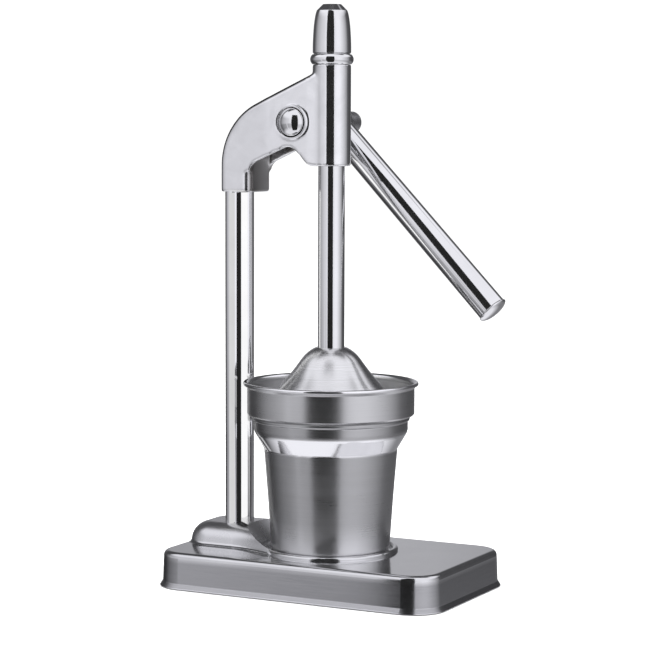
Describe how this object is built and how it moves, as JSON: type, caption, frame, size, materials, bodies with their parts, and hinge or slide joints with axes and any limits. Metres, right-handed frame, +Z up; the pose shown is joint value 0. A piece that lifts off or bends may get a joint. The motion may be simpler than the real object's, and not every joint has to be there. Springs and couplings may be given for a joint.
{
  "type": "hand lever juicer press",
  "caption": "Countertop hand-lever juicer press: the lever turns a pinion that drives a rack ram and press bell into a strainer bowl seated on a juice cup.",
  "frame": {"origin": "centre of the base's underside, on the worktop", "axes": "+Z up along the ram; +X to the front, away from the columns; the lever is on the +Y side"},
  "size_m": [0.2253, 0.153, 0.4195],
  "materials": {
    "polished_steel": "polished stainless",
    "zinc_steel": "zinc plated",
    "rubber_pad": "matte",
    "chrome_bar": "mirror",
    "polished_casting": "hand polished casting",
    "bronze": "plain bronze",
    "gear_steel": "machined, oiled",
    "chrome_trim": "mirror",
    "brushed_nut": "turned satin",
    "chrome_lever": "mirror",
    "chrome_ram": "mirror",
    "satin_bell": "spun and lightly polished",
    "brushed_bowl": "brushed",
    "brushed_cup": "brushed"
  },
  "bodies": {
    "stand": {"base_shell": "polished_steel", "base_plate": "zinc_steel", "anti_slip_pad": "rubber_pad", "plate_posts": "zinc_steel", "plate_screws": "zinc_steel", "column_near": "chrome_bar", "column_far": "chrome_bar", "column_bracket": "zinc_steel", "column_washers": "zinc_steel", "column_nuts": "zinc_steel", "head_casting": "polished_casting", "head_collar": "chrome_bar", "shaft_bushes": "bronze"},
    "lever": {"pinion_gear": "gear_steel", "pinion_shaft": "gear_steel", "pinion_key": "gear_steel", "thrust_washers": "bronze", "dome_nut": "chrome_trim", "spacer_sleeve": "chrome_trim", "end_nut": "brushed_nut", "lever_hub": "chrome_trim", "hub_pin": "gear_steel", "lever_tube": "chrome_lever", "lever_end_plug": "chrome_lever"},
    "ram": {"ram_rack": "chrome_ram", "ram_cap": "chrome_ram", "press_bell": "satin_bell", "bell_screw": "gear_steel"},
    "strainer": {"strainer_bowl": "brushed_bowl"},
    "cup": {"juice_cup": "brushed_cup"}
  },
  "joints": [
    {"name": "lever_hinge", "type": "hinge", "parent": "stand", "child": "lever", "pos_m": [-0.02485, 0, 0.3358], "axis": [0, -1, 0], "range_deg": [0, 150]},
    {"name": "ram_slide", "type": "slide", "parent": "stand", "child": "ram", "axis": [0, 0, 1], "range_m": [0, 0.0459]},
    {"name": "cup_turn", "type": "hinge", "parent": "stand", "child": "cup", "pos_m": [0, 0, 0.0266], "axis": [0, 0, 1], "continuous": true},
    {"name": "strainer_turn", "type": "hinge", "parent": "cup", "child": "strainer", "pos_m": [0, 0, 0.125], "axis": [0, 0, 1], "continuous": true}
  ],
  "couplings": [
    {"joint": "ram_slide", "follows": "lever_hinge", "m_per_rad": 0.0175}
  ]
}
